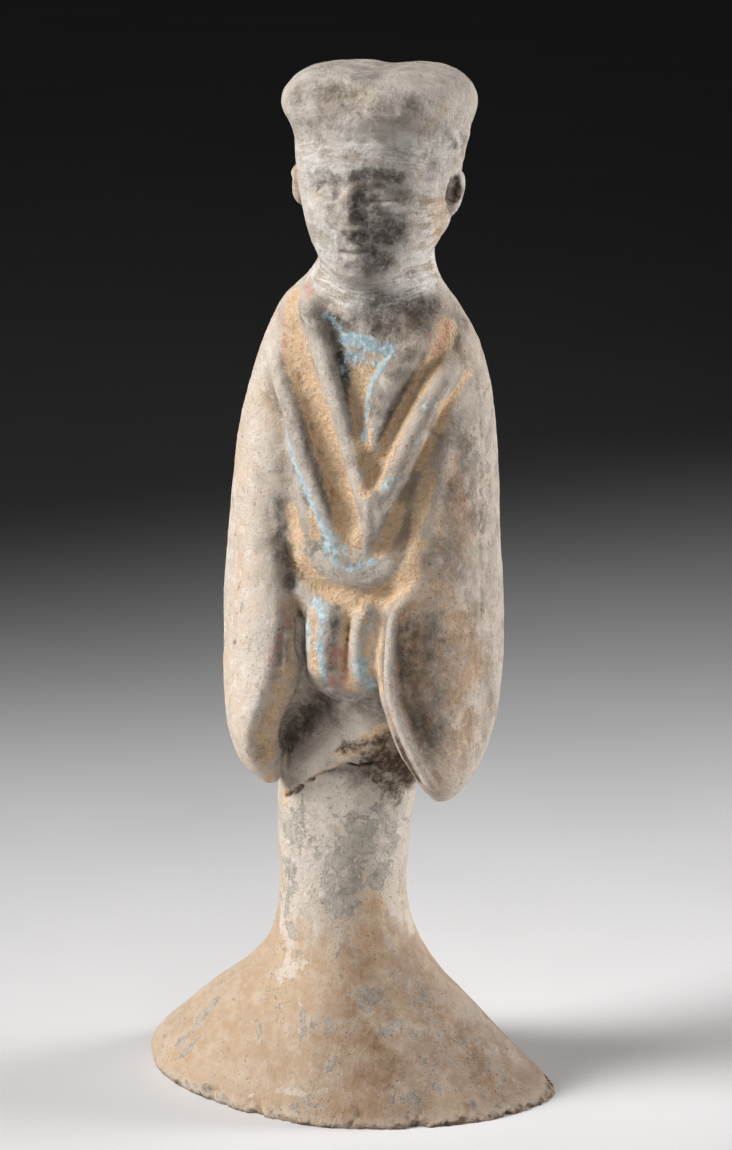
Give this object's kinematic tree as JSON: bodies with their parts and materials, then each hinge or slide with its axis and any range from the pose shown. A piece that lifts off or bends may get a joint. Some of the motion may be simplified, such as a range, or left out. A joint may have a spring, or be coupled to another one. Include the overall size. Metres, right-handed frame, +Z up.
{
  "type": "tomb figure",
  "caption": "Standing robed attendant in painted earthenware, hands drawn into long hanging sleeves, with a flat flared cap and a trumpet skirt open beneath.",
  "frame": {"origin": "centre of the foot of the skirt, on the surface it stands on", "axes": "+Z up, the figure faces -Y, +X is the figure's own left"},
  "size_m": [0.1493, 0.0955, 0.3612],
  "materials": {
    "earthenware": "matt buff earthenware with worn grey and cream slip, traces of blue and red pigment and brown earth"
  },
  "bodies": {
    "root": {"tomb_figure": "earthenware"}
  },
  "joints": []
}
